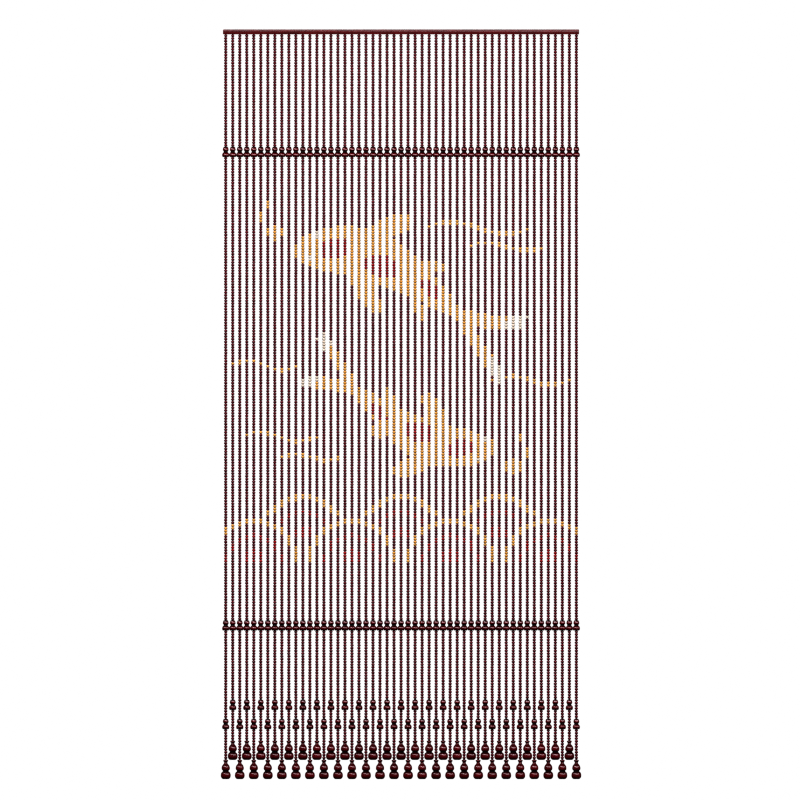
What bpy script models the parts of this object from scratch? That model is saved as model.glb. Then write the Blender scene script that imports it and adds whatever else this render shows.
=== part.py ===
"""Bead curtain: strings of small wooden beads under a narrow heading strip.

Two cross rows of gourd beads tie the strings side by side, and each string
ends in a small gourd and a large gourd pendant. The strings are plain here:
each is turned with four sides, as wide as its beads, with the true outline
of the gourds on it.

The origin is the middle of the heading strip's top face. +Z is up, and the
curtain hangs in the XZ plane. Sizes are in metres.
"""

from collections import namedtuple

import bpy

# One section of a turned outline: how far it lies below the piece's own top,
# and its radius.
Section = namedtuple("Section", "drop radius")

STRINGS = 51
STRING_PITCH = 0.01753
SIDES = 4

BEAD_RADIUS = 0.00365
BEAD_LENGTH = 0.006855
SPACER_LENGTH = 0.002

HEADING_WIDTH = 0.890
HEADING_DEPTH = 0.012
HEADING_HEIGHT = 0.012
ROOT_DEPTH = 0.004

CROSS_CORD_SIZE = 0.0032
CROSS_CORD_DROP = 0.0191

# Clearance between one piece and the piece under it.
GAP = 0.0003

# Beads on each length of string.
BEADS_ABOVE_UPPER_ROW = 41
BEADS_BETWEEN_ROWS = 169
BEADS_BELOW_LOWER_ROW = {"even": 25, "odd": 32}
BEADS_ABOVE_PENDANT = 11

GOURD_LENGTH = 0.0252
GOURD = (
    Section(drop=0.0000, radius=BEAD_RADIUS),
    Section(drop=0.0036, radius=0.0066),
    Section(drop=0.0084, radius=0.0066),
    Section(drop=0.0122, radius=0.0045),
    Section(drop=0.0162, radius=0.0085),
    Section(drop=0.0220, radius=0.0085),
    Section(drop=GOURD_LENGTH, radius=BEAD_RADIUS),
)

PENDANT_LENGTH = 0.0480
PENDANT = (
    Section(drop=0.0000, radius=0.0058),
    Section(drop=0.0044, radius=0.0058),
    Section(drop=0.0066, radius=0.0040),
    Section(drop=0.0138, radius=0.0083),
    Section(drop=0.0222, radius=0.0101),
    Section(drop=0.0277, radius=0.0068),
    Section(drop=0.0328, radius=0.0109),
    Section(drop=0.0414, radius=0.0123),
    Section(drop=PENDANT_LENGTH, radius=0.0060),
)

WOOD = (0.10, 0.010, 0.016, 1.0)

# Heights that follow from the sizes above.
HEADING_BOTTOM = -HEADING_HEIGHT
UPPER_ROW_TOP = HEADING_BOTTOM - BEADS_ABOVE_UPPER_ROW * BEAD_LENGTH
UPPER_ROW_BOTTOM = UPPER_ROW_TOP - GOURD_LENGTH
LOWER_ROW_TOP = UPPER_ROW_BOTTOM - BEADS_BETWEEN_ROWS * BEAD_LENGTH
LOWER_ROW_BOTTOM = LOWER_ROW_TOP - GOURD_LENGTH

# The pitch across the curtain for the odd strings alone, or the even ones.
PAIR_PITCH = 2 * STRING_PITCH
ODD_STRINGS = (STRINGS + 1) // 2
EVEN_STRINGS = STRINGS // 2
FIRST_STRING_X = -STRING_PITCH * (STRINGS - 1) / 2


def remove_objects():
    """Empty the scene of its objects."""
    for ob in list(bpy.data.objects):
        bpy.data.objects.remove(ob, do_unlink=True)


def new_collection(name):
    """A collection of that name, linked to the scene."""
    collection = bpy.data.collections.new(name)
    bpy.context.scene.collection.children.link(collection)
    return collection


def wood_material(name, roughness):
    """A dark red lacquered wood."""
    material = bpy.data.materials.new(name)
    material.use_nodes = True
    shader = material.node_tree.nodes["Principled BSDF"]
    shader.inputs["Base Color"].default_value = WOOD
    shader.inputs["Roughness"].default_value = roughness
    shader.inputs["Metallic"].default_value = 0.0
    return material


def at(top, sections):
    """Points (radius, z) of a turned piece whose top is at that height."""
    return [(section.radius, top - section.drop) for section in sections]


def closed(points):
    """The same outline, started and ended on the axis."""
    return [(0.0, points[0][1])] + points + [(0.0, points[-1][1])]


def plain_string(top, bottom):
    """Outline of a length of beads with nothing else on it."""
    return closed([(BEAD_RADIUS, top), (BEAD_RADIUS, bottom)])


def middle_string():
    """Outline of an upper row gourd with the long length of beads under it."""
    points = at(UPPER_ROW_TOP, GOURD)
    points.append((BEAD_RADIUS, LOWER_ROW_TOP + GAP))
    return closed(points)


def lower_string(parity):
    """Outline of a lower row gourd, a small gourd and a pendant, with the
    beads between them."""
    small_top = LOWER_ROW_BOTTOM - BEADS_BELOW_LOWER_ROW[parity] * BEAD_LENGTH
    small_top -= SPACER_LENGTH
    pendant_top = small_top - GOURD_LENGTH - BEADS_ABOVE_PENDANT * BEAD_LENGTH
    pendant_top -= SPACER_LENGTH
    points = at(LOWER_ROW_TOP, GOURD) + at(small_top, GOURD)
    points.append((BEAD_RADIUS, pendant_top))
    points += at(pendant_top, PENDANT)
    return closed(points)


def turned_strings(name, outline, first_x, count, pitch, collection):
    """A row of like strings: one outline turned about its own axis, and
    repeated across the curtain."""
    mesh = bpy.data.meshes.new(name)
    vertices = [(radius, 0.0, z) for radius, z in outline]
    edges = [(i, i + 1) for i in range(len(outline) - 1)]
    mesh.from_pydata(vertices, edges, [])
    ob = bpy.data.objects.new(name, mesh)
    collection.objects.link(ob)
    ob.location.x = first_x
    turn = ob.modifiers.new("turn", "SCREW")
    turn.axis = "Z"
    turn.steps = SIDES
    turn.render_steps = SIDES
    turn.use_merge_vertices = True
    turn.merge_threshold = 0.00001
    row = ob.modifiers.new("row", "ARRAY")
    row.count = count
    row.use_relative_offset = False
    row.use_constant_offset = True
    row.constant_offset_displace = (pitch, 0.0, 0.0)
    ob.hide_render = True
    ob.display_type = "WIRE"
    return ob


def box(name, size, centre, collection):
    """A box of that size, with its scale applied."""
    bpy.ops.mesh.primitive_cube_add(size=1.0, location=centre)
    ob = bpy.context.active_object
    ob.name = name
    ob.scale = size
    bpy.ops.object.transform_apply(location=False, rotation=False, scale=True)
    for other in list(ob.users_collection):
        other.objects.unlink(ob)
    collection.objects.link(ob)
    return ob


def join(ob, other):
    """Fuse another shape into this one."""
    union = ob.modifiers.new("join " + other.name, "BOOLEAN")
    union.operation = "UNION"
    union.solver = "EXACT"
    union.object = other


def cross_cord(name, row_top, collection):
    """The cord through the lower lobes of a row, from the middle of the
    first gourd to the middle of the last."""
    return box(
        name,
        (STRING_PITCH * (STRINGS - 1), CROSS_CORD_SIZE, CROSS_CORD_SIZE),
        (0.0, 0.0, row_top - CROSS_CORD_DROP),
        collection,
    )


def build_heading(parts, joined):
    """The heading strip with the first length of all the strings."""
    heading = box(
        "heading",
        (HEADING_WIDTH, HEADING_DEPTH, HEADING_HEIGHT),
        (0.0, 0.0, -HEADING_HEIGHT / 2),
        parts,
    )
    outline = plain_string(HEADING_BOTTOM + ROOT_DEPTH, UPPER_ROW_TOP + GAP)
    strings = turned_strings(
        "top_strings", outline, FIRST_STRING_X, STRINGS, STRING_PITCH, joined
    )
    join(heading, strings)
    return heading


def build_upper_row(parts, joined):
    """The upper cross row with the long middle length of the strings."""
    row = cross_cord("upper_row", UPPER_ROW_TOP, parts)
    strings = turned_strings(
        "middle_strings", middle_string(), FIRST_STRING_X, STRINGS, STRING_PITCH, joined
    )
    join(row, strings)
    return row


def build_lower_row(parts, joined):
    """The lower cross row with the last length of the strings. The odd
    strings, counted from -X, hang lower than the even ones."""
    row = cross_cord("lower_row", LOWER_ROW_TOP, parts)
    odd = turned_strings(
        "odd_strings", lower_string("odd"), FIRST_STRING_X, ODD_STRINGS, PAIR_PITCH, joined
    )
    even = turned_strings(
        "even_strings",
        lower_string("even"),
        FIRST_STRING_X + STRING_PITCH,
        EVEN_STRINGS,
        PAIR_PITCH,
        joined,
    )
    join(row, odd)
    join(row, even)
    return row


def main():
    """Build the curtain."""
    remove_objects()
    parts = new_collection("bead_curtain")
    joined = new_collection("joined_shapes")
    heading = build_heading(parts, joined)
    upper = build_upper_row(parts, joined)
    lower = build_lower_row(parts, joined)
    heading.data.materials.append(wood_material("heading_wood", 0.35))
    upper.data.materials.append(wood_material("upper_bead_wood", 0.22))
    lower.data.materials.append(wood_material("lower_bead_wood", 0.22))


main()
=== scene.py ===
# %% [markdown]
# # A bead curtain
#
# Fifty-one strings of small turned wooden beads hang under a narrow heading
# strip. Two cross rows of gourd beads keep the strings side by side, and each
# string ends in a small gourd and a large gourd pendant.
#
# The whole thing is thousands of copies of a few turned shapes, so it is
# worked out with whole numpy arrays: one template, and a list of places.

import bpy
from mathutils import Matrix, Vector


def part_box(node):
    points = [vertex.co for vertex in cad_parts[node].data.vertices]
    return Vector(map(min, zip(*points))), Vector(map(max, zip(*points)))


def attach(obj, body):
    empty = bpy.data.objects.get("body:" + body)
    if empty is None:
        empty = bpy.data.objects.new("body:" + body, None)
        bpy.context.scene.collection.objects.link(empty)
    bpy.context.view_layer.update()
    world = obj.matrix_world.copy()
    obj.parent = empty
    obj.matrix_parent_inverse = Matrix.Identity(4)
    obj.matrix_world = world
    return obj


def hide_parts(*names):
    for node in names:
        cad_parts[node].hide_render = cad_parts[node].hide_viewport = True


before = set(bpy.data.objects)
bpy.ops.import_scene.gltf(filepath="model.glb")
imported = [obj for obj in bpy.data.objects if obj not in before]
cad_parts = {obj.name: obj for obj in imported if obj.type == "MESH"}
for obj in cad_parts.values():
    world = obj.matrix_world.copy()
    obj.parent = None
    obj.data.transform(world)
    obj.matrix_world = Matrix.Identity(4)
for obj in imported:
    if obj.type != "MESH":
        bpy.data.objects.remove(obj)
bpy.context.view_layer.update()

import math
from collections import namedtuple

import bpy
import numpy as np

# %% [markdown]
# ## Sizes
#
# Strings are threaded bead by bead, so every height on the curtain is a count
# of beads. The solids were made from the same sizes, and their boxes are
# printed next to the heights worked out here, so a slip shows at once.

# %% Sizes in metres
STRINGS = 51
STRING_PITCH = 0.01753
BEAD_LENGTH = 0.006855
BEAD_RADIUS = 0.00365
SPACER_LENGTH = 0.002
GOURD_LENGTH = 0.0252
PENDANT_LENGTH = 0.0480
HEADING_SIZE = (0.890, 0.012, 0.012)
CROSS_CORD_DROP = 0.0191

BEADS_ABOVE_UPPER_ROW = 41
BEADS_BETWEEN_ROWS = 169
BEADS_BELOW_LOWER_ROW = (32, 25)  # odd strings, even strings
BEADS_ABOVE_PENDANT = 11

string = np.arange(STRINGS)
string_x = (string - (STRINGS - 1) / 2) * STRING_PITCH
beads_below = np.where(string % 2 == 0, *BEADS_BELOW_LOWER_ROW)

heading_bottom = -HEADING_SIZE[2]
upper_row_top = heading_bottom - BEADS_ABOVE_UPPER_ROW * BEAD_LENGTH
middle_top = upper_row_top - GOURD_LENGTH
lower_row_top = middle_top - BEADS_BETWEEN_ROWS * BEAD_LENGTH
lower_top = lower_row_top - GOURD_LENGTH
small_top = lower_top - beads_below * BEAD_LENGTH - SPACER_LENGTH
last_top = small_top - GOURD_LENGTH
pendant_top = last_top - BEADS_ABOVE_PENDANT * BEAD_LENGTH - SPACER_LENGTH

print("lowest pendant:", round(float(pendant_top.min() - PENDANT_LENGTH), 4))
for node in ("heading", "upper_row", "lower_row"):
    low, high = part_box(node)
    print(node, "from", round(high.z, 4), "down to", round(low.z, 4))

# %% [markdown]
# ## A turned shape and its copies
#
# Beads are turned on a lathe, so each one is a short profile carried round
# the thread. The screw modifier would do for one bead. For thousands it is
# quicker to work out the template's points once and add each bead's place to
# all of them in one sum.

# %% The turned template
END_STRIP = 0.12  # height of the map's lowest strip, which holds the end faces
DISC_FILL = 0.8  # share of its half strip that an end face fills
# A ring's third value is painted shade: a darker colour where shade falls.
Ring = namedtuple("Ring", "drop radius pooled")
Shape = namedtuple("Shape", "points corners sizes uv pooled")


def turned(rings, sides):
    """A turned shape from its rings, top to bottom, with a flat face on each
    end. A point is (radius cos a, radius sin a, -drop), with the angle a in
    equal steps. On the map, u is the angle and v runs down the profile by
    its own length, and the two end faces are small discs below. The third
    value of each ring is painted shade, from 0 to 1: how much darker the
    colour is painted there to stand in for shade."""
    drop, radius, pooled = np.array(rings, float).T
    a = 2 * np.pi * np.arange(sides) / sides
    ring = [radius[:, None] * np.cos(a), radius[:, None] * np.sin(a), -drop[:, None] + 0 * a]
    points = np.stack(ring, axis=-1).reshape(-1, 3)

    j = np.arange(sides)
    after = (j + 1) % sides
    start = np.arange(len(rings))[:, None] * sides
    band = [start[1:] + j, start[1:] + after, start[:-1] + after, start[:-1] + j]
    quads = np.stack(band, axis=-1).reshape(-1, 4)
    corners = np.concatenate([j, quads.ravel(), start[-1] + j[::-1]])
    sizes = np.concatenate([[sides], np.full(len(quads), 4), [sides]])

    run = np.concatenate([[0], np.cumsum(np.hypot(np.diff(radius), np.diff(drop)))])
    v = 1 - (1 - END_STRIP) * run / run[-1]
    u = j / sides
    step = 1 / sides
    across = np.stack([u, u + step, u + step, u], axis=-1)[None]
    down = np.stack([v[1:], v[1:], v[:-1], v[:-1]], axis=-1)[:, None]
    side_uv = np.stack(np.broadcast_arrays(across, down), axis=-1).reshape(-1, 2)
    disc = END_STRIP / 2 * (1 + DISC_FILL * np.stack([np.cos(a), np.sin(a)], axis=-1))
    uv = np.concatenate([disc, side_uv, disc[::-1] + [0.5, 0]])
    return Shape(points, corners, sizes, uv, pooled.repeat(sides))


# %% Many copies as one mesh
UV_MARGIN = 0.05  # empty border of each copy's cell, as a share of the cell


def piece(name, shape, places, materials, finish=0, turns=0.0, sizes=1.0, tones=0.5):
    """One object of many copies of a shape. Each copy is the template turned
    about its own axis, scaled and moved to its place. Each copy wears one
    finish, an index into the materials, has one tone from 0 to 1, and has
    one square cell of the map to itself."""
    places = np.asarray(places, float)
    count = len(places)
    turns = np.broadcast_to(turns, count)[:, None]
    sizes = np.broadcast_to(sizes, count)[:, None]
    x, y, z = shape.points.T
    points = np.stack(
        [
            (x * np.cos(turns) - y * np.sin(turns)) * sizes,
            (x * np.sin(turns) + y * np.cos(turns)) * sizes,
            z + 0 * turns,
        ],
        axis=-1,
    )
    points = points + places[:, None]
    corners = shape.corners + (np.arange(count) * len(shape.points))[:, None]
    face_sizes = np.tile(shape.sizes, count)

    mesh = bpy.data.meshes.new(name)
    mesh.vertices.add(points.size // 3)
    mesh.vertices.foreach_set("co", points.ravel().astype(np.float32))
    mesh.loops.add(corners.size)
    mesh.loops.foreach_set("vertex_index", corners.ravel().astype(np.int32))
    mesh.polygons.add(len(face_sizes))
    starts = np.concatenate([[0], np.cumsum(face_sizes)[:-1]])
    mesh.polygons.foreach_set("loop_start", starts.astype(np.int32))

    columns = math.ceil(math.sqrt(count))
    cell = np.arange(count)
    corner = np.stack([cell % columns, cell // columns], axis=-1)[:, None]
    uv = (shape.uv * (1 - 2 * UV_MARGIN) + UV_MARGIN + corner) / columns
    mesh.uv_layers.new(name="OFBake")
    mesh.uv_layers[0].uv.foreach_set("vector", uv.ravel().astype(np.float32))

    for material in materials:
        mesh.materials.append(material)
    faces = len(shape.sizes)
    finish = np.repeat(np.broadcast_to(finish, count), faces)
    mesh.polygons.foreach_set("material_index", finish.astype(np.int32))
    tones = np.repeat(np.broadcast_to(tones, count), faces)
    tone = mesh.attributes.new("tone", "FLOAT", "FACE")
    tone.data.foreach_set("value", tones.astype(np.float32))
    # Painted shade for each point, copied from the template: it darkens the colour where shade
    # falls.
    pooled = mesh.attributes.new("pooled", "FLOAT", "POINT")
    pooled.data.foreach_set("value", np.tile(shape.pooled, count).astype(np.float32))
    mesh.update(calc_edges=True)
    mesh.validate()
    mesh.shade_smooth()

    ob = bpy.data.objects.new(name, mesh)
    bpy.context.scene.collection.objects.link(ob)
    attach(ob, "root")
    triangles = int((face_sizes - 2).sum())
    print(name, "copies:", count, "triangles:", triangles)
    return ob


# %% [markdown]
# ## The wood
#
# All the beads are turned from the same kind of close-grained wood. Under the
# stain and lacquer its fibres show as fine streaks along the thread, one bead
# is a little darker than the next, and the lacquer is a bit uneven. Shade is
# painted into the colour too, in grooves, at the ends and in lower halves.
# The fibres, the tone with the painted shade, and the lacquer are each a node
# group, so that every finish can use them with its own values.

# %% Node group helpers


def new_group(name, inputs, outputs):
    """An empty shader node group with these sockets, and its two ends."""
    group = bpy.data.node_groups.new(name, "ShaderNodeTree")
    for label, kind, value in inputs:
        socket = group.interface.new_socket(label, in_out="INPUT", socket_type=kind)
        if value is not None:
            socket.default_value = value
    for label, kind in outputs:
        group.interface.new_socket(label, in_out="OUTPUT", socket_type=kind)
    return group, group.nodes.new("NodeGroupInput"), group.nodes.new("NodeGroupOutput")


def noise(tree, vector, scale, detail):
    """A noise texture on that vector, scaled by a socket or a number."""
    node = tree.nodes.new("ShaderNodeTexNoise")
    node.inputs["Detail"].default_value = detail
    tree.links.new(vector, node.inputs["Vector"])
    if isinstance(scale, (int, float)):
        node.inputs["Scale"].default_value = scale
    else:
        tree.links.new(scale, node.inputs["Scale"])
    return node


def remap(tree, value, low, high, to_low=0.0, to_high=1.0):
    """Stretch a value from one range to another, held inside it."""
    node = tree.nodes.new("ShaderNodeMapRange")
    tree.links.new(value, node.inputs["Value"])
    for label, number in (
        ("From Min", low),
        ("From Max", high),
        ("To Min", to_low),
        ("To Max", to_high),
    ):
        node.inputs[label].default_value = number
    return node.outputs["Result"]


def mix_colours(tree, blend, factor, a, b):
    """Mix two colours. Each input is a socket or a plain value."""
    node = tree.nodes.new("ShaderNodeMix")
    node.data_type = "RGBA"
    node.blend_type = blend
    for index, value in ((0, factor), (6, a), (7, b)):
        if isinstance(value, bpy.types.NodeSocket):
            tree.links.new(value, node.inputs[index])
        else:
            node.inputs[index].default_value = value
    return node.outputs[2]


def sum_of(tree, operation, *values):
    """A Math node. Each value is a socket or a number."""
    node = tree.nodes.new("ShaderNodeMath")
    node.operation = operation
    for socket, value in zip(node.inputs, values):
        if isinstance(value, bpy.types.NodeSocket):
            tree.links.new(value, socket)
        else:
            socket.default_value = value
    return node.outputs[0]


def attribute(tree, name):
    """The value of a piece's own attribute."""
    node = tree.nodes.new("ShaderNodeAttribute")
    node.attribute_name = name
    return node.outputs["Fac"]


# %% Fibres under the lacquer
STREAK_RANGE = (0.32, 0.68)
PORE_RANGE = (0.30, 0.52)
PORES_FINER = 2.7  # how much finer the pores are than the streaks


def fibre_group():
    """Streaks and pores. The vector is already squeezed along the fibres, so
    plain noise on it is drawn out into lines. Streaks is 0 in dark fibres
    and 1 in pale ones, and Height is low in the pores."""
    group, ends_in, ends_out = new_group(
        "fibres",
        [("Vector", "NodeSocketVector", None), ("Scale", "NodeSocketFloat", 900.0)],
        [("Streaks", "NodeSocketFloat"), ("Height", "NodeSocketFloat")],
    )
    vector, scale = ends_in.outputs["Vector"], ends_in.outputs["Scale"]
    broad = noise(group, vector, scale, 4.0)
    streaks = remap(group, broad.outputs["Fac"], *STREAK_RANGE)
    pores = noise(group, vector, sum_of(group, "MULTIPLY", scale, PORES_FINER), 2.0)
    height = remap(group, pores.outputs["Fac"], *PORE_RANGE)
    group.links.new(streaks, ends_out.inputs["Streaks"])
    group.links.new(height, ends_out.inputs["Height"])
    return group


# %% One bead darker than the next, and painted shade
PAINTED_SHADE_RANGE = (0.15, 0.9)  # where the painted shade starts and where it is full
THIN_LACQUER = 0.1  # share of the lacquer that is left where shade is painted


def tone_and_shade_group():
    """Stain, painted shade and lacquer on one turned piece. Color is made
    darker or paler by the piece's own tone: at tone 0.5 it stays, and Spread
    is the share that it moves each way. Where the painted shade attribute
    nears 1, in grooves, at the ends and in the lower half of a bead, shade is
    painted: the colour is darker by the share of the shade input, and the
    lacquer is thin."""
    group, ends_in, ends_out = new_group(
        "tone_and_painted_shade",
        [
            ("Color", "NodeSocketColor", None),
            ("Spread", "NodeSocketFloat", 0.2),
            ("Pooled", "NodeSocketFloat", 0.4),
            ("Lacquer", "NodeSocketFloat", 0.5),
        ],
        [("Color", "NodeSocketColor"), ("Lacquer", "NodeSocketFloat")],
    )
    tone = attribute(group, "tone")
    # painted shade: the colour goes darker where the shade attribute is high, standing in for
    # shade
    shade_mask = remap(group, attribute(group, "pooled"), *PAINTED_SHADE_RANGE)
    swing = remap(group, tone, 0.0, 1.0, -1.0, 1.0)
    gain = sum_of(group, "MULTIPLY_ADD", swing, ends_in.outputs["Spread"], 1.0)
    painted_darkening = sum_of(group, "MULTIPLY", shade_mask, ends_in.outputs["Pooled"])
    kept = sum_of(group, "SUBTRACT", 1.0, painted_darkening)
    both = sum_of(group, "MULTIPLY", gain, kept)
    scaled = group.nodes.new("ShaderNodeVectorMath")
    scaled.operation = "SCALE"
    group.links.new(ends_in.outputs["Color"], scaled.inputs[0])
    group.links.new(both, scaled.inputs["Scale"])
    group.links.new(scaled.outputs[0], ends_out.inputs["Color"])
    thin = remap(group, shade_mask, 0.0, 1.0, 1.0, THIN_LACQUER)
    lacquer = sum_of(group, "MULTIPLY", thin, ends_in.outputs["Lacquer"])
    group.links.new(lacquer, ends_out.inputs["Lacquer"])
    return group


# %% Uneven lacquer
LACQUER_SCALE = 140.0
LACQUER_RANGE = (0.35, 0.65)


def lacquer_group():
    """A slow change over the surface between a glossy and a dull roughness,
    as brushed or tumbled lacquer has."""
    group, ends_in, ends_out = new_group(
        "uneven_lacquer",
        [
            ("Vector", "NodeSocketVector", None),
            ("Glossy", "NodeSocketFloat", 0.2),
            ("Dull", "NodeSocketFloat", 0.4),
        ],
        [("Roughness", "NodeSocketFloat")],
    )
    slow = noise(group, ends_in.outputs["Vector"], LACQUER_SCALE, 2.0)
    share = remap(group, slow.outputs["Fac"], *LACQUER_RANGE)
    blend = group.nodes.new("ShaderNodeMix")
    blend.data_type = "FLOAT"
    group.links.new(share, blend.inputs[0])
    group.links.new(ends_in.outputs["Glossy"], blend.inputs[2])
    group.links.new(ends_in.outputs["Dull"], blend.inputs[3])
    group.links.new(blend.outputs[0], ends_out.inputs["Roughness"])
    return group


fibres = fibre_group()
tone_and_painted_shade = tone_and_shade_group()
uneven_lacquer = lacquer_group()
print("node groups:", [group.name for group in bpy.data.node_groups])

# %% [markdown]
# ## Finishes
#
# The same recipe gives every wooden finish: two stain colours mixed by the
# fibres, the bead's own tone, painted shade, and a clear coat on top. What
# changes is the stain, the direction of the fibres, how dark the painted
# shade is and how glossy the coat is.

# %% The wood recipe
ALONG_Z = (1.0, 1.0, 0.12)
ALONG_X = (0.06, 1.0, 1.0)
DULL_SPECULAR = 0.12  # what is under the lacquer mirrors little by itself
PORE_DEPTH = 0.0002


def place_group(tree, group, **inputs):
    """Put a node group into a material, with its values or links."""
    node = tree.nodes.new("ShaderNodeGroup")
    node.node_tree = group
    for label, value in inputs.items():
        if isinstance(value, bpy.types.NodeSocket):
            tree.links.new(value, node.inputs[label])
        else:
            node.inputs[label].default_value = value
    return node


def wood(
    name, dark, pale, grain=ALONG_Z, scale=900.0, spread=0.2, pooled=0.85,
    gloss=(0.3, 0.45), coat=0.5, coat_roughness=0.15,
):
    """Stained and lacquered wood with painted shade. dark and pale are the
    stain in the two kinds of fibre, grain squeezes the pattern along the
    fibres, the painted shade's strength is how much darker the colour is
    painted where the shade attribute is full, and gloss holds the two
    roughness values of the wood under the coat."""
    material = bpy.data.materials.new(name)
    material.use_nodes = True
    tree = material.node_tree
    shader = tree.nodes["Principled BSDF"]
    where = tree.nodes.new("ShaderNodeTexCoord").outputs["Object"]
    squeeze = tree.nodes.new("ShaderNodeMapping")
    squeeze.inputs["Scale"].default_value = grain
    tree.links.new(where, squeeze.inputs["Vector"])
    fibre = place_group(tree, fibres, Vector=squeeze.outputs[0], Scale=scale)
    stain = mix_colours(tree, "MIX", fibre.outputs["Streaks"], dark, pale)
    toned = place_group(
        tree, tone_and_painted_shade, Color=stain, Spread=spread, Pooled=pooled, Lacquer=coat
    )
    sheen = place_group(tree, uneven_lacquer, Vector=where, Glossy=gloss[0], Dull=gloss[1])
    bump = tree.nodes.new("ShaderNodeBump")
    bump.inputs["Strength"].default_value = 0.2
    bump.inputs["Distance"].default_value = PORE_DEPTH
    tree.links.new(fibre.outputs["Height"], bump.inputs["Height"])
    tree.links.new(toned.outputs["Color"], shader.inputs["Base Color"])
    tree.links.new(sheen.outputs["Roughness"], shader.inputs["Roughness"])
    tree.links.new(bump.outputs["Normal"], shader.inputs["Normal"])
    shader.inputs["Specular IOR Level"].default_value = DULL_SPECULAR
    tree.links.new(toned.outputs["Lacquer"], shader.inputs["Coat Weight"])
    shader.inputs["Coat Roughness"].default_value = coat_roughness
    return material


# %% The finishes of this curtain
# Each finish has its own strength of painted shade.
bead_mahogany = wood(
    "bead_mahogany", (0.078, 0.001, 0.006, 1), (0.18, 0.003, 0.018, 1), pooled=0.6,
    coat=0.8, coat_roughness=0.25,
)
bead_gold = wood(
    "bead_gold", (0.46, 0.225, 0.036, 1), (0.63, 0.385, 0.100, 1), spread=0.12, pooled=0.4,
    coat=0.4,
)
bead_red = wood("bead_red", (0.24, 0.002, 0.004, 1), (0.38, 0.006, 0.012, 1), pooled=0.6)
bead_ivory = wood(
    "bead_ivory", (0.52, 0.46, 0.36, 1), (0.68, 0.62, 0.52, 1), spread=0.06, pooled=0.4
)
gourd_mahogany = wood(
    "gourd_mahogany", (0.060, 0.0008, 0.0020, 1), (0.140, 0.0025, 0.0070, 1), scale=500.0,
    pooled=0.95, coat=1.0,
)
strip_mahogany = wood(
    "strip_mahogany", (0.045, 0.0010, 0.0015, 1), (0.110, 0.0030, 0.0050, 1),
    grain=ALONG_X, scale=420.0, gloss=(0.45, 0.6), coat=0.3,
)
bead_finishes = [bead_mahogany, bead_gold, bead_red, bead_ivory]
print("finishes:", [material.name for material in bpy.data.materials])

# %% [markdown]
# ## The picture in the middle strings
#
# The maker threads beads of natural gold wood, red and ivory among the dark
# ones, so the picture is a chart with one square for each bead. Here two carp
# swim round each other above a row of waves. Each motif is a rule that says
# which beads lie inside it, worked out for the whole chart at once.

# %% The empty chart
MAHOGANY, GOLD, RED, IVORY = range(4)
MM = 1000.0
chart = np.zeros((STRINGS, BEADS_BETWEEN_ROWS), int)
chart_x = (string_x * MM)[:, None] + 0.0 * chart
chart_z = (np.arange(BEADS_BETWEEN_ROWS) + 0.5)[None] * BEAD_LENGTH * MM + 0.0 * chart


def thread_in(inside, finish):
    """Change the beads inside a motif to that finish."""
    chart[inside] = finish


# %% A carp seen from above
def inside_oval(u, v, centre, radii, angle=0.0):
    """Where (u, v) lies inside an oval turned by that angle in degrees."""
    a = np.radians(angle)
    right, down = u - centre[0], v - centre[1]
    along = right * np.cos(a) + down * np.sin(a)
    off = down * np.cos(a) - right * np.sin(a)
    return (along / radii[0]) ** 2 + (off / radii[1]) ** 2 < 1


def carp(nose, angle, length, bend):
    """Body, fins, red back spots, tail tips and eyes. s runs from 0 at the
    nose to 1 at the root of the tail. The back is a line bent by a sine of
    s, the body's half width is a sine of s^0.6, and the two tail lobes open
    from the root. Fins and eyes use the distance from the back, so each one
    comes on both sides."""
    a = np.radians(angle)
    right, down = (chart_x - nose[0]) / length, (chart_z - nose[1]) / length
    s = right * np.cos(a) + down * np.sin(a)
    side = down * np.cos(a) - right * np.sin(a) - bend * np.sin(1.15 * np.pi * s)
    off = np.abs(side)
    half = 0.135 * np.sin(np.pi * np.clip(s, 0, 1) ** 0.6) ** 0.7
    body = (s > 0) & (s < 1) & (off < np.maximum(half, 0.026))
    t = np.clip((s - 0.93) / 0.36, 0, 1)
    tail = (s > 0.93) & (s < 1.29) & (off < 0.03 + 0.17 * t) & (off > 0.15 * t**1.5 - 0.02)
    fins = inside_oval(s, off, (0.44, 0.19), (0.13, 0.055), 38)
    fins |= inside_oval(s, off, (0.72, 0.115), (0.075, 0.03), 30)
    spots = inside_oval(s, side, (0.20, 0.0), (0.075, 0.06))
    spots |= inside_oval(s, side, (0.47, 0.03), (0.10, 0.06), -10)
    spots |= inside_oval(s, side, (0.76, -0.01), (0.07, 0.035))
    eyes = inside_oval(s, off, (0.085, 0.066), (0.022, 0.022))
    return body, fins | tail, spots, tail & (s > 1.19), eyes


# %% Water
def ripple(start, length, rise):
    """Beads near one full sine wave, thicker in its middle."""
    share = (chart_x - start[0]) / length
    line = start[1] - rise * np.sin(2 * np.pi * share)
    half = 3.6 + 2.6 * np.sin(np.pi * np.clip(share, 0, 1))
    return (share >= 0) & (share <= 1) & (np.abs(chart_z - line) < half)


def wave(centre, radius):
    """The upper half of a disc, its crest along the rim, and an inner band
    with a core, all by the distance from the centre."""
    share = np.hypot(chart_x - centre[0], chart_z - centre[1]) / radius
    upper = chart_z < centre[1]
    crest = upper & (share > 0.86) & (share < 1)
    inner = upper & (((share > 0.54) & (share < 0.66)) | (share < 0.28))
    return upper & (share < 1.08), crest, inner


# %% Thread the picture
CARP = (((-265, 225), 21, 470, -0.10), ((232, 735), 202, 400, -0.10))
BUBBLES = (
    (-315.5, 190, 21), (-350.6, 152, 14), (-333.1, 118, 9),
    (280.5, 775, 21), (315.5, 738, 14), (298.0, 704, 9),
)
RIPPLES = (
    ((58, 178), 270, 14), ((165, 225), 200, 10), ((-425, 522), 170, 12),
    ((225, 560), 200, 10), ((-400, 700), 190, 12), ((-300, 752), 150, 8),
)
WAVE_RADIUS = 112
WAVES = ((955, (-245, 0, 245)), (1015, (-368, -123, 123, 368)))

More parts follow.
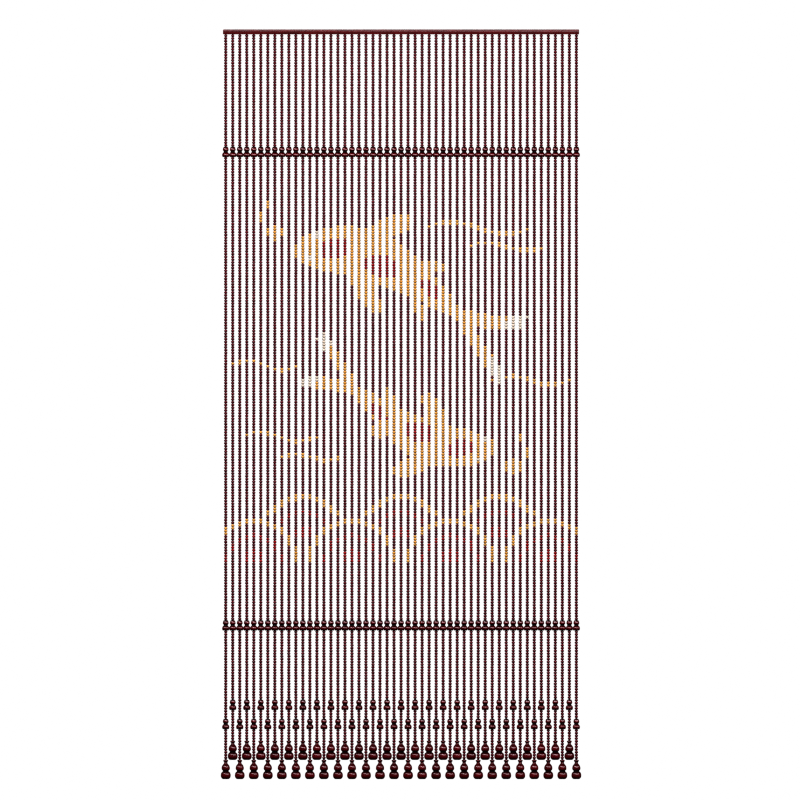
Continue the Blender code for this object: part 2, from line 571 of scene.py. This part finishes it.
for start, length, rise in RIPPLES:
    thread_in(ripple(start, length, rise), GOLD)
for swimmer in CARP:
    body, fins, spots, tips, eyes = carp(*swimmer)
    thread_in(fins | body, GOLD)
    thread_in(spots & body, RED)
    thread_in(tips | eyes, IVORY)
for x, z, radius in BUBBLES:
    thread_in(np.hypot(chart_x - x, chart_z - z) < radius, GOLD)
for z, centres in WAVES:
    for x in centres:
        for inside, finish in zip(wave((x, z), WAVE_RADIUS), (MAHOGANY, GOLD, RED)):
            thread_in(inside, finish)
print("beads of each finish in the picture:", np.bincount(chart.ravel()).tolist())

# %% [markdown]
# ## The small beads
#
# A bead is a ball, a little shorter than it is wide, with its ends flattened
# by the drill. There are more than twelve thousand, so each has only thirty
# faces, shaded smooth, and every bead is turned by its own angle so that the
# flats don't line up.

# %% The bead
BEAD_SIDES = 7
BEAD_WIDENING = 1.20  # middle of a bead against the straight string of the solids
BEAD_END = 0.38  # radius of the ends against that of the middle
RINGS_AT = (0.0, 0.2, 0.5, 0.8, 1.0)  # shares of the bead's length
PAINTED_SHADE_AT = (1.0, 0.15, 0.6, 1.0, 1.0)  # painted shade at each of those rings
BEAD_SIZES = (0.98, 1.01)


def bead_rings(length, radius):
    """Rings of a ball cut flat at both ends: the radius at the share t down
    the bead is R sqrt(1 - k^2 (2t - 1)^2), with k such that the end is
    BEAD_END times R. The colour is painted darker from the middle down to
    the lower end, and at the upper end: painted shade, standing in for the
    shade in the lower half of each bead and where beads meet. Whether that
    is stain or shade can't be told, and here it is stain, pooled there as if
    the beads had dripped dry, with a little round the upper hole."""
    t = np.array(RINGS_AT)
    r = radius * np.sqrt(1 - (1 - BEAD_END**2) * (2 * t - 1) ** 2)
    return np.stack([t * length, r, PAINTED_SHADE_AT], axis=-1)


bead = turned(bead_rings(BEAD_LENGTH, BEAD_RADIUS * BEAD_WIDENING), BEAD_SIDES)
print("faces of one bead:", len(bead.sizes))


# %% Strings of beads
def bead_places(strings, tops, counts):
    """The place of each bead's top, string by string: its string's x, and
    its string's top less one bead length for each bead above it."""
    counts = np.broadcast_to(counts, len(strings))
    tops = np.repeat(np.broadcast_to(tops, len(strings)), counts)
    first = np.repeat(np.cumsum(counts) - counts, counts)
    above = np.arange(counts.sum()) - first
    x = np.repeat(string_x[strings], counts)
    return np.stack([x, 0 * x, tops - above * BEAD_LENGTH], axis=-1)


def strings_piece(name, places, finish=0, seed=1):
    """A piece of beads with a turn, a size and a tone of their own."""
    rng = np.random.default_rng(seed)
    count = len(places)
    return piece(
        name,
        bead,
        places,
        bead_finishes,
        finish=finish,
        turns=rng.uniform(0, 2 * np.pi / BEAD_SIDES, count),
        sizes=rng.uniform(*BEAD_SIZES, count),
        tones=rng.uniform(0, 1, count),
    )


top_beads = strings_piece(
    "top_beads", bead_places(string, heading_bottom, BEADS_ABOVE_UPPER_ROW), seed=11
)
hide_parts("heading")

# %% The middle strings with the picture
for label, group in zip(("left", "centre", "right"), np.split(string, 3)):
    middle = strings_piece(
        "middle_beads_" + label,
        bead_places(group, middle_top, BEADS_BETWEEN_ROWS),
        finish=chart[group].ravel(),
        seed=int(20 + group[0]),
    )
    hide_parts("upper_row")

# %% The strings below the lower row
lower_places = np.concatenate(
    [
        bead_places(string, lower_top, beads_below),
        bead_places(string, last_top, BEADS_ABOVE_PENDANT),
    ]
)
lower_beads = strings_piece("lower_beads", lower_places, seed=31)
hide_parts("lower_row")

# %% [markdown]
# ## Gourd beads
#
# A gourd bead is turned in one piece with two lobes, the lower one wider. It
# stands in both cross rows, where the wide lobes almost touch, and once more
# near the end of each string.

# %% The gourd
# The third value is painted shade: darker at the ends, in the waist and above and below each
# lobe's widest part, where shade falls.
GOURD_RINGS = [
    Ring(0.0000, 0.0041, 1.0),
    Ring(0.0008, 0.0053, 0.9),
    Ring(0.0030, 0.0062, 0.5),
    Ring(0.0054, 0.0069, 0.0),
    Ring(0.0074, 0.0072, 0.1),
    Ring(0.0090, 0.0069, 0.7),
    Ring(0.0103, 0.0058, 1.0),
    Ring(0.0113, 0.0051, 1.0),
    Ring(0.0136, 0.0051, 1.0),
    Ring(0.0148, 0.0066, 0.8),
    Ring(0.0168, 0.0081, 0.3),
    Ring(0.0190, 0.0088, 0.0),
    Ring(0.0214, 0.0089, 0.4),
    Ring(0.0240, 0.0084, 0.8),
    Ring(0.0257, 0.0069, 1.0),
]
GOURD_SIDES = 16


def across(x, z):
    """Places at these x and z in the curtain's middle plane."""
    x, z = np.broadcast_arrays(x, z)
    return np.stack([x, 0 * x, z], axis=-1)


def gourds_piece(name, shape, sides, z, seed):
    """One gourd on every string, with a turn and a tone of its own."""
    rng = np.random.default_rng(seed)
    return piece(
        name,
        shape,
        across(string_x, z),
        [gourd_mahogany],
        turns=rng.uniform(0, 2 * np.pi / sides, STRINGS),
        tones=rng.uniform(0, 1, STRINGS),
    )


gourd = turned(GOURD_RINGS, GOURD_SIDES)
upper_gourds = gourds_piece("upper_row_gourds", gourd, GOURD_SIDES, upper_row_top, 41)
lower_gourds = gourds_piece("lower_row_gourds", gourd, GOURD_SIDES, lower_row_top, 42)
small_gourds = gourds_piece("small_gourds", gourd, GOURD_SIDES, small_top, 43)
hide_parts("upper_row")
for ob in (lower_gourds, small_gourds):
    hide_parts("lower_row")

# %% [markdown]
# ## Pendants
#
# The pendant at the end of each string is a gourd about twice as long as the
# gourd beads, with a turned collar and a thin neck on top. The collar's edges
# are crisp, so edges sharper than fifty degrees are kept sharp.

# %% The pendant
# The third value is painted shade: darker under the collar, in the neck and waist and at the
# bottom, where shade falls; lightest round each lobe's widest part.
PENDANT_RINGS = [
    Ring(0.0000, 0.0048, 0.8),
    Ring(0.0008, 0.0057, 0.5),
    Ring(0.0020, 0.0060, 0.0),
    Ring(0.0034, 0.0058, 0.7),
    Ring(0.0044, 0.0048, 1.0),
    Ring(0.0054, 0.0040, 0.6),
    Ring(0.0082, 0.0040, 0.2),
    Ring(0.0100, 0.0051, 0.6),
    Ring(0.0126, 0.0074, 0.5),
    Ring(0.0152, 0.0090, 0.4),
    Ring(0.0181, 0.0099, 0.1),
    Ring(0.0211, 0.0102, 0.0),
    Ring(0.0236, 0.0098, 0.3),
    Ring(0.0256, 0.0085, 0.8),
    Ring(0.0269, 0.0072, 1.0),
    Ring(0.0284, 0.0070, 1.0),
    Ring(0.0299, 0.0085, 0.9),
    Ring(0.0321, 0.0107, 0.7),
    Ring(0.0351, 0.0119, 0.2),
    Ring(0.0393, 0.0123, 0.0),
    Ring(0.0428, 0.0118, 0.4),
    Ring(0.0452, 0.0104, 0.7),
    Ring(0.0472, 0.0084, 0.8),
    Ring(0.0480, 0.0056, 0.9),
]
PENDANT_SIDES = 16
CRISP = math.radians(50)

pendant = turned(PENDANT_RINGS, PENDANT_SIDES)
pendants = gourds_piece("pendants", pendant, PENDANT_SIDES, pendant_top, 44)
pendants.data.set_sharp_from_angle(angle=CRISP)
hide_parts("lower_row")

# %% [markdown]
# ## Thread, spacers and cross cords
#
# One thread runs through each string from the heading into its pendant. A
# thin ring sits above each small gourd and each pendant, and a twisted cord
# runs through the wide lobes of both cross rows.

# %% Thread and spacers
THREAD_RADIUS = 0.0005
THREAD_END = 0.004  # how far the thread runs on into its pendant
THREAD_SIDES = 5
SPACER_SIDES = 8


def cord_material(name, colour, pale):
    """Dyed cord: fine fibres, a dull surface and no lacquer."""
    material = bpy.data.materials.new(name)
    material.use_nodes = True
    tree = material.node_tree
    shader = tree.nodes["Principled BSDF"]
    where = tree.nodes.new("ShaderNodeTexCoord").outputs["Object"]
    fibre = place_group(tree, fibres, Vector=where, Scale=2400.0)
    dyed = mix_colours(tree, "MIX", fibre.outputs["Streaks"], colour, pale)
    bump = tree.nodes.new("ShaderNodeBump")
    bump.inputs["Strength"].default_value = 0.4
    bump.inputs["Distance"].default_value = 0.0001
    tree.links.new(fibre.outputs["Height"], bump.inputs["Height"])
    tree.links.new(dyed, shader.inputs["Base Color"])
    tree.links.new(bump.outputs["Normal"], shader.inputs["Normal"])
    shader.inputs["Roughness"].default_value = 0.6
    shader.inputs["Specular IOR Level"].default_value = DULL_SPECULAR
    return material


dark_cord = cord_material("dark_cord", (0.045, 0.001, 0.002, 1), (0.110, 0.003, 0.005, 1))
for label, odd in (("long", 0), ("short", 1)):
    chosen = string[string % 2 == odd]
    bottom = float(pendant_top[odd]) - THREAD_END
    line = [Ring(-heading_bottom, THREAD_RADIUS, 0), Ring(-bottom, THREAD_RADIUS, 0)]
    thread = turned(line, THREAD_SIDES)
    piece("threads_" + label, thread, across(string_x[chosen], 0.0), [dark_cord])

# The third value is painted shade: darker at both ends, where the ring meets its neighbours.
SPACER_RINGS = [
    Ring(0.0000, 0.0022, 1.0),
    Ring(0.0005, 0.0029, 0.5),
    Ring(0.0015, 0.0029, 0.5),
    Ring(0.0020, 0.0022, 1.0),
]
spacer = turned(SPACER_RINGS, SPACER_SIDES)
spacer_places = np.concatenate(
    [
        across(string_x, small_top + SPACER_LENGTH),
        across(string_x, pendant_top + SPACER_LENGTH),
    ]
)
spacers = piece("spacer_rings", spacer, spacer_places, [gourd_mahogany])

# %% Twisted cross cords
CORD_RADIUS = 0.0019
CORD_TWIST = 0.010
CORD_STEPS = 440
CORD_SIDES = 8


def twisted_cord(length):
    """Two plies twisted together: at x the section's radius at angle a is
    R (0.85 + 0.15 cos 2(a - 2 pi x / twist)), closed at both ends."""
    x = np.linspace(-length / 2, length / 2, CORD_STEPS)
    shape = turned([Ring(value, 1, 0) for value in x], CORD_SIDES)
    along = -shape.points[:, 2]
    a = np.arctan2(shape.points[:, 1], shape.points[:, 0])
    ply = CORD_RADIUS * (0.85 + 0.15 * np.cos(2 * (a - 2 * np.pi * along / CORD_TWIST)))
    points = np.stack([along, ply * np.sin(a), ply * np.cos(a)], axis=-1)
    return shape._replace(points=points)


cross_cord = twisted_cord(string_x[-1] - string_x[0])
for name, row_top, node in (
    ("upper_cross_cord", upper_row_top, "upper_row"),
    ("lower_cross_cord", lower_row_top, "lower_row"),
):
    ob = piece(name, cross_cord, [(0, 0, row_top - CROSS_CORD_DROP)], [dark_cord])
    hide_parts(node)

# %% [markdown]
# ## The heading strip
#
# The strip is a planed lath with eased edges. Its section is a square with
# round corners, and it is carried along X, drawn in a little at both ends.

# %% Heading strip
EDGE = 0.0016


def lath(size, edge, corner_steps=4):
    """A round-cornered section carried along X. Each section is the inner
    rectangle grown by the edge radius; the last sections shrink by a quarter
    circle, so the ends are eased too."""
    half = np.array(size) / 2 - edge
    bend = np.linspace(0, np.pi / 2, corner_steps)
    turn = np.concatenate([quarter * np.pi / 2 + bend for quarter in range(4)])
    sign_y = np.sign(np.cos(turn.reshape(4, -1).mean(1))).repeat(corner_steps)
    sign_z = np.sign(np.sin(turn.reshape(4, -1).mean(1))).repeat(corner_steps)
    ease = np.linspace(0, np.pi / 2, corner_steps)
    x = np.concatenate([half[0] + edge * np.cos(ease), -half[0] - edge * np.cos(ease[::-1])])
    grow = edge * np.concatenate([np.sin(ease), np.sin(ease[::-1])])
    shape = turned([Ring(-value, 1, 0) for value in x], len(turn))
    y = sign_y * half[1] + grow[:, None] * np.cos(turn)
    z = sign_z * half[2] + grow[:, None] * np.sin(turn)
    return shape._replace(points=np.stack([shape.points[:, 2], y.ravel(), z.ravel()], axis=-1))


strip = piece(
    "heading_strip", lath(HEADING_SIZE, EDGE), [(0, 0, -HEADING_SIZE[2] / 2)], [strip_mahogany]
)
strip.data.set_sharp_from_angle(angle=CRISP)
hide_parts("heading")

# %% [markdown]
# ## Floor, light and camera
#
# The curtain hangs above a plain white floor, which gives off light of its
# own that only the camera sees, so no edge shows behind the beads. Three long
# soft lights, in front and a little above, give each bead the bright band
# that lacquered wood has, and a fourth lights the back. The camera is level
# and has no perspective, so the strings stay parallel.

# %% The floor
FLOOR_Z = -1.96
FLOOR_HALF = 8.0
FLOOR_GLOW = 1.0

floor_mesh = bpy.data.meshes.new("floor")
corner = FLOOR_HALF * np.array([(-1, -1), (1, -1), (1, 1), (-1, 1)], float)
floor_mesh.from_pydata([(x, y, FLOOR_Z) for x, y in corner.tolist()], [], [(0, 1, 2, 3)])
floor = bpy.data.objects.new("floor", floor_mesh)
bpy.context.scene.collection.objects.link(floor)
pale = bpy.data.materials.new("pale_floor")
pale.use_nodes = True
floor_tree = pale.node_tree
floor_shader = floor_tree.nodes["Principled BSDF"]
floor_where = floor_tree.nodes.new("ShaderNodeTexCoord").outputs["Object"]
mottle = noise(floor_tree, floor_where, 3.0, 3.0).outputs["Fac"]
tint = mix_colours(floor_tree, "MIX", mottle, (0.10, 0.11, 0.10, 1), (0.12, 0.13, 0.12, 1))
floor_tree.links.new(tint, floor_shader.inputs["Base Color"])
floor_shader.inputs["Roughness"].default_value = 0.9
floor_shader.inputs["Specular IOR Level"].default_value = 0.0
floor_shader.inputs["Emission Color"].default_value = (1.0, 1.0, 1.0, 1.0)
floor_shader.inputs["Emission Strength"].default_value = FLOOR_GLOW
floor_mesh.materials.append(pale)
floor.visible_glossy = False
floor.visible_diffuse = False


# %% The lights
LIGHT_TINT = (1.0, 0.95, 1.0)
LIGHT_AIM = (0.0, 0.0, -0.93)  # the curtain's middle
LIGHT_DISTANCE = 5.5
LONG_LIGHT = (5.4, 1.4)
BACK_LIGHT = (3.0, 2.4)


def soft_light(name, azimuth, elevation, size, strength, roll=0.0):
    """An area light aimed at the curtain's middle. Azimuth 0 is in front,
    90 on the right. Its power grows with its area, so the strength is the
    light's own brightness."""
    light = bpy.data.lights.new(name, "AREA")
    light.shape = "RECTANGLE"
    light.size, light.size_y = size
    light.energy = strength * size[0] * size[1]
    light.color = LIGHT_TINT
    ob = bpy.data.objects.new(name, light)
    bpy.context.scene.collection.objects.link(ob)
    a, e = math.radians(azimuth), math.radians(elevation)
    ob.location = (
        LIGHT_AIM[0] + LIGHT_DISTANCE * math.sin(a) * math.cos(e),
        LIGHT_AIM[1] - LIGHT_DISTANCE * math.cos(a) * math.cos(e),
        LIGHT_AIM[2] + LIGHT_DISTANCE * math.sin(e),
    )
    ob.rotation_euler = (math.radians(90 - elevation), 0.0, a)
    ob.rotation_euler.rotate_axis("Z", math.radians(roll))


soft_light("left_light", -50, 28, LONG_LIGHT, 34.0)
soft_light("front_light", -4, 22, LONG_LIGHT, 45.0, roll=-8)
soft_light("right_light", 50, 16, LONG_LIGHT, 36.0)
soft_light("back_light", 182, 22, BACK_LIGHT, 60.0)

# %% Background and colours
WHITE = (1.0, 1.0, 1.0, 1.0)
FILL = 0.06  # strength of the white room on matt surfaces
MIRRORED = 0.03  # its strength in reflections
GAMMA = 0.65
PIXEL_FILTER = 1.3
BRIGHTEST = 2.0  # direct light in one sample is held at this

world = bpy.data.worlds.new("studio")
bpy.context.scene.world = world
world.use_nodes = True
sky = world.node_tree
seen = sky.nodes["Background"]
seen.inputs["Color"].default_value = WHITE
fill = sky.nodes.new("ShaderNodeBackground")
fill.inputs["Color"].default_value = WHITE
ray = sky.nodes.new("ShaderNodeLightPath")
diffuse = sky.nodes.new("ShaderNodeMapRange")
diffuse.inputs["To Min"].default_value = MIRRORED
diffuse.inputs["To Max"].default_value = FILL
sky.links.new(ray.outputs["Is Diffuse Ray"], diffuse.inputs["Value"])
sky.links.new(diffuse.outputs[0], fill.inputs["Strength"])
either = sky.nodes.new("ShaderNodeMixShader")
sky.links.new(ray.outputs["Is Camera Ray"], either.inputs[0])
sky.links.new(fill.outputs[0], either.inputs[1])
sky.links.new(seen.outputs[0], either.inputs[2])
sky.links.new(either.outputs[0], sky.nodes["World Output"].inputs["Surface"])
scene = bpy.context.scene
scene.view_settings.view_transform = "Standard"
scene.view_settings.gamma = GAMMA
# A bead is under three pixels long here, and a denoiser takes such beads for
# grain and smooths them into a plain cord. Held direct light keeps grazing
# reflections from leaving white dots on so small a bead.
scene.cycles.use_denoising = False
scene.cycles.filter_width = PIXEL_FILTER
scene.cycles.sample_clamp_direct = BRIGHTEST

# %% The camera
VIEW_SIZE = 2.0
VIEW_CENTRE = (-0.0026, -0.92625)
VIEW_DISTANCE = 5.0

camera_data = bpy.data.cameras.new("camera")
camera_data.type = "ORTHO"
camera_data.ortho_scale = VIEW_SIZE
camera = bpy.data.objects.new("camera", camera_data)
bpy.context.scene.collection.objects.link(camera)
camera.location = (VIEW_CENTRE[0], -VIEW_DISTANCE, VIEW_CENTRE[1])
camera.rotation_euler = (math.pi / 2, 0.0, 0.0)
bpy.context.scene.camera = camera
